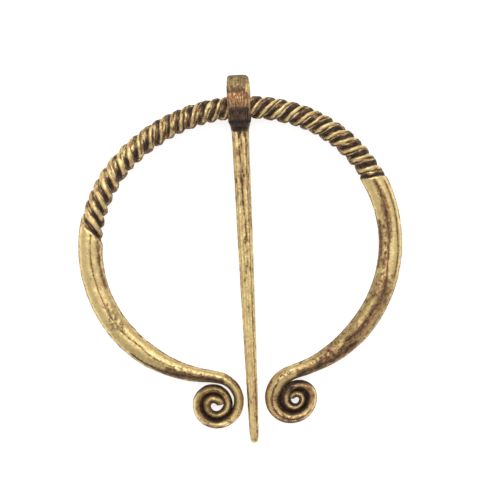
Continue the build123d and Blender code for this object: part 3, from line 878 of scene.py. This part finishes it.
def makePin():
    look = pinLook
    mesh = joinPin()
    pin = layOutPin(mesh)
    *shaftMarks, dent = markShaft(pin)
    tints = [blend(onShaft, onLoop, pin.onLoop) for onShaft, onLoop in zip(shaftMarks, markLoop(pin))]
    tints.append(0.75 + 0.15 * pin.onLoop)   # streakiness
    along = np.where(pin.z > 0, pin.y * blend(0.35, 1, pin.onLoop), look["backLay"] - pin.y)
    lay = np.stack([along, pin.x, np.sign(pin.z) * sideLay], axis=-1)

    streaks = lumps(pin.points * np.array([1, look["streakLong"], 1]), look["streakSize"], 2.0)
    swell = look["lumpDepth"] * lumps(pin.points, look["lumpSize"], 13.0)
    swell = swell + look["grainDepth"] * lumps(pin.points, look["grainSize"], 17.0)
    swell = swell + look["streakDepth"] * streaks - look["seamDepth"] * pin.seam
    swell = swell - dent * pin.upper * (1 - pin.onLoop)
    onBack = pin.z < 0.05 - swingPoint[2]
    inEye = (pin.reachOut < 2.4) & (np.abs(pin.x) < 1.9)
    swell = np.where(onBack | inEye, 0.0, swell)   # the back stays flat, and the eye keeps its room
    points = pin.points + pin.normals * swell[:, None]
    points[:, 2] = np.maximum(points[:, 2], -swingPoint[2])
    mesh.vertices.foreach_set("co", ((points + swingPoint) * millimetre).ravel())
    setFinish(mesh, np.stack(tints, axis=-1), lay)
    piece = bpy.data.objects.new("pinBar", mesh)
    bpy.context.scene.collection.objects.link(piece)
    return piece


pinBar = makePin()
print("pin made,", len(pinBar.data.polygons), "faces")


# Shader maths: a strand is one output, and the operators add Math nodes
class Strand:
    def __init__(self, maker, socket):
        self.maker, self.socket = maker, socket

    def maths(self, operation, first, second):
        return self.maker.node("ShaderNodeMath", {"operation": operation}, {0: first, 1: second})

    def __add__(self, other):
        return self.maths("ADD", self, other)

    def __sub__(self, other):
        return self.maths("SUBTRACT", self, other)

    def __rsub__(self, other):
        return self.maths("SUBTRACT", other, self)

    def __mul__(self, other):
        return self.maths("MULTIPLY", self, other)


class MaterialMaker:
    def __init__(self, name):
        self.material = bpy.data.materials.new(name)
        self.material.use_nodes = True
        self.tree = self.material.node_tree
        self.tree.nodes.clear()

    # any node: its type, its settings, then the values or links of its sockets
    def node(self, kind, settings=None, sockets=None, output=0):
        made = self.tree.nodes.new(kind)
        for key, value in (settings or {}).items():
            setattr(made, key, value)
        for key, value in (sockets or {}).items():
            if isinstance(value, Strand):
                self.tree.links.new(value.socket, made.inputs[key])
            else:
                made.inputs[key].default_value = value
        return Strand(self, made.outputs[output]) if made.outputs else made

    def mixColour(self, factor, first, second):
        first = (*first, 1) if isinstance(first, tuple) else first
        second = (*second, 1) if isinstance(second, tuple) else second
        settings = {"data_type": "RGBA", "clamp_factor": True}
        return self.node("ShaderNodeMix", settings, {0: factor, 6: first, 7: second}, 2)

    def fade(self, value, low, high):
        sockets = {"Value": value, "From Min": low, "From Max": high, "To Min": 0.0, "To Max": 1.0}
        return self.node("ShaderNodeMapRange", {"interpolation_type": "SMOOTHSTEP"}, sockets)

    def noise(self, vector, scale, detail, rough):
        sockets = {"Vector": vector, "Scale": scale, "Detail": detail, "Roughness": rough}
        return self.node("ShaderNodeTexNoise", {}, sockets)

    def attribute(self, name, output):
        settings = {"attribute_name": name, "attribute_type": "GEOMETRY"}
        return self.node("ShaderNodeAttribute", settings, output=output)

    # another output of the same node
    def beside(self, strand, output):
        return Strand(self, strand.socket.node.outputs[output])

    def finish(self, shader):
        self.node("ShaderNodeOutputMaterial", {}, {"Surface": shader})
        return self.material


brassLook = {
    "gold": (0.84, 0.66, 0.30),      # worn metal
    "tan": (0.53, 0.340, 0.160),     # duller film over it
    "copper": (0.50, 0.17, 0.085),   # where the plating is thin
    "olive": (0.35, 0.265, 0.115),   # dull metal
    "brown": (0.160, 0.086, 0.042),  # thin grime, patina and painted shade
    "black": (0.013, 0.009, 0.009),  # thick grime, patina and painted shade
    "roughness": 0.31, "specular": 0.35,
    # noise: scale per metre, detail, roughness
    "patches": (750.0, 3.0, 0.55), "specks": (2300.0, 4.0, 0.65),
    "flecks": (4200.0, 3.0, 0.6), "grain": (6800.0, 2.0, 0.5),
    "lines": (1.0, 3.0, 0.6), "lineStretch": (0.9, 6.0, 1.0),   # per millimetre along and across the grain
    # where each fades in
    "brownRange": (0.10, 0.66), "blackRange": (0.54, 1.06), "filmRange": (0.40, 0.62),
    "copperRange": (-0.75, 0.20),
    "relief": 0.00007, "reliefStrength": 0.55,
}


def antiqueBrass(name, look):
    maker = MaterialMaker(name)
    place = maker.node("ShaderNodeTexCoord", output=3)
    finish = maker.attribute("finish", 0)
    lay = maker.attribute("lay", 1)
    # grime with painted shade and painted highlights, dullness, redness and streakiness
    grimeAndShadeIn = maker.node("ShaderNodeSeparateColor", {}, {0: finish})
    dull, red, streaky = maker.beside(grimeAndShadeIn, 1), maker.beside(grimeAndShadeIn, 2), maker.beside(finish, "Alpha")
    patches, specks = maker.noise(place, *look["patches"]), maker.noise(place, *look["specks"])
    flecks, grain = maker.noise(place, *look["flecks"]), maker.noise(place, *look["grain"])
    stretching = {0: lay, 1: look["lineStretch"]}
    stretched = maker.node("ShaderNodeVectorMath", {"operation": "MULTIPLY"}, stretching)
    lines = maker.noise(stretched, *look["lines"])

    mottle = (specks - 0.5) * (2.1 - streaky * 1.1) + (flecks - 0.5) * (1.5 - streaky * 1.1)
    mottle = mottle + (lines - 0.5) * streaky * 2.3
    amount = grimeAndShadeIn + mottle * (grimeAndShadeIn * (1.6 - grimeAndShadeIn * 1.5) + 0.28)
    brownness = maker.fade(amount, *look["brownRange"])
    blackness = maker.fade(amount, *look["blackRange"])

    film = maker.fade(patches * 0.4 + specks * 0.4 + flecks * 0.2, *look["filmRange"])
    colour = maker.mixColour(film * (dull * 0.90 + 0.42), look["gold"], look["tan"])
    colour = maker.mixColour(dull * (specks * 0.8 + 0.50), colour, look["olive"])
    colour = maker.mixColour(red * maker.fade(mottle, *look["copperRange"]), colour, look["copper"])
    colour = maker.mixColour(brownness, colour, look["brown"])
    colour = maker.mixColour(blackness, colour, look["black"])
    rough = brownness * 0.22 + film * 0.10 + streaky * 0.06 + (grain - 0.5) * 0.25 + look["roughness"]
    metal = 1.0 - brownness * 0.45 - blackness * 0.45
    relief = specks * 0.6 + grain * 0.4 + lines * streaky * 0.5 - brownness * 0.25
    bump = maker.node("ShaderNodeBump", {}, {
        "Strength": look["reliefStrength"], "Distance": look["relief"], "Height": relief,
    })
    return maker.finish(maker.node("ShaderNodeBsdfPrincipled", {}, {
        "Base Color": colour, "Metallic": metal, "Roughness": rough,
        "Specular IOR Level": look["specular"], "Normal": bump,
    }))


for piece, node, slot in ((hoopBar, "hoop", "hoop_brass"), (pinBar, "pin", "pin_brass")):
    piece.data.materials.append(antiqueBrass(node + "Brass", brassLook))
    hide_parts(node)
    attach(piece, node)
print("brass laid on")

# Floor in millimetres, lamp in metres and watts
studio = {
    "floor": (0.50, 0.50, 0.50), "floorGlow": 0.73, "floorReach": 600.0, "floorDrop": 0.02,
    "world": 0.68,
    "topSize": 1.2, "topPlace": (0.0, 0.6, 1.0), "topPower": 8.5,
}


def layFloor():
    reach = studio["floorReach"]
    corners = np.array([(-reach, -reach, 0), (reach, -reach, 0), (reach, reach, 0), (-reach, reach, 0)])
    floor = newPiece("floor", corners, [(0, 1, 2, 3)])
    floor.location.z = -studio["floorDrop"] * millimetre
    maker = MaterialMaker("paleFloor")
    floor.data.materials.append(maker.finish(maker.node("ShaderNodeBsdfPrincipled", {}, {
        "Base Color": (*studio["floor"], 1), "Roughness": 0.7,
        "Emission Color": (1, 1, 1, 1), "Emission Strength": studio["floorGlow"],
    })))


def setLights():
    world = bpy.data.worlds.new("world")
    world.use_nodes = True
    background = world.node_tree.nodes["Background"]
    background.inputs["Color"].default_value = (1, 1, 1, 1)
    background.inputs["Strength"].default_value = studio["world"]
    bpy.context.scene.world = world
    lamp = bpy.data.lights.new("topLight", "AREA")
    lamp.shape, lamp.size, lamp.energy = "SQUARE", studio["topSize"], studio["topPower"]
    holder = bpy.data.objects.new("topLight", lamp)
    bpy.context.scene.collection.objects.link(holder)
    holder.location = studio["topPlace"]
    holder.rotation_euler = (-Vector(studio["topPlace"])).to_track_quat("-Z", "Y").to_euler()
    bpy.context.scene.view_settings.view_transform = "Standard"


layFloor()
setLights()
print("studio set")
